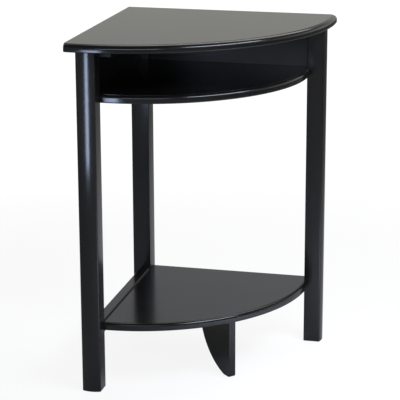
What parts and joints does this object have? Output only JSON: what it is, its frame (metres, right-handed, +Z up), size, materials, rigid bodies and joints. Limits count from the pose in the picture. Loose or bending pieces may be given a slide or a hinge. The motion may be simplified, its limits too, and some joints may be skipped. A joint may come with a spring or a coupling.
{
  "type": "corner table",
  "caption": "Quarter-round corner table with a moulded top, a middle shelf closed on its two wall sides, a lower shelf, square posts and a curved front foot.",
  "frame": {"origin": "on the floor, under the middle of the table's bounding box", "axes": "+Z up; +Y towards the back wall, -X towards the left wall, so the room's corner is at -X and +Y and the curved front faces +X and -Y"},
  "size_m": [0.5, 0.5, 0.78],
  "materials": {
    "dark_lacquer": "near-black espresso lacquer, satin gloss, faint grain",
    "dowel_beech": "bare beech, fluted in life, plain here",
    "zinc_steel": "bright zinc plating"
  },
  "bodies": {
    "root": {"apron_dowel_1": "dowel_beech", "apron_dowel_2": "dowel_beech", "apron_dowel_3": "dowel_beech", "apron_dowel_4": "dowel_beech", "apron_dowel_5": "dowel_beech", "apron_dowel_6": "dowel_beech", "apron_dowel_7": "dowel_beech", "apron_dowel_8": "dowel_beech", "back_apron": "dark_lacquer", "back_cleat": "dark_lacquer", "back_post": "dark_lacquer", "cam_bolt_1": "zinc_steel", "cam_bolt_2": "zinc_steel", "cam_disc_1": "zinc_steel", "cam_disc_2": "zinc_steel", "cleat_screw_1": "zinc_steel", "cleat_screw_2": "zinc_steel", "cleat_screw_3": "zinc_steel", "cleat_screw_4": "zinc_steel", "cleat_screw_5": "zinc_steel", "cleat_screw_6": "zinc_steel", "foot_dowel_1": "dowel_beech", "foot_dowel_2": "dowel_beech", "front_foot": "dark_lacquer", "left_apron": "dark_lacquer", "left_cleat": "dark_lacquer", "left_post": "dark_lacquer", "lower_shelf": "dark_lacquer", "middle_shelf": "dark_lacquer", "post_dowel_1": "dowel_beech", "post_dowel_2": "dowel_beech", "post_dowel_3": "dowel_beech", "rail_dowel_1": "dowel_beech", "rail_dowel_2": "dowel_beech", "rail_dowel_3": "dowel_beech", "rail_dowel_4": "dowel_beech", "rail_screw_1": "zinc_steel", "rail_screw_2": "zinc_steel", "rail_screw_3": "zinc_steel", "right_post": "dark_lacquer", "shelf_screw_1": "zinc_steel", "shelf_screw_2": "zinc_steel", "shelf_screw_3": "zinc_steel", "shelf_screw_4": "zinc_steel", "shelf_screw_5": "zinc_steel", "shelf_screw_6": "zinc_steel", "side_rail": "dark_lacquer", "top_board": "dark_lacquer", "top_screw_1": "zinc_steel", "top_screw_2": "zinc_steel", "top_screw_3": "zinc_steel", "top_screw_4": "zinc_steel"}
  },
  "joints": []
}
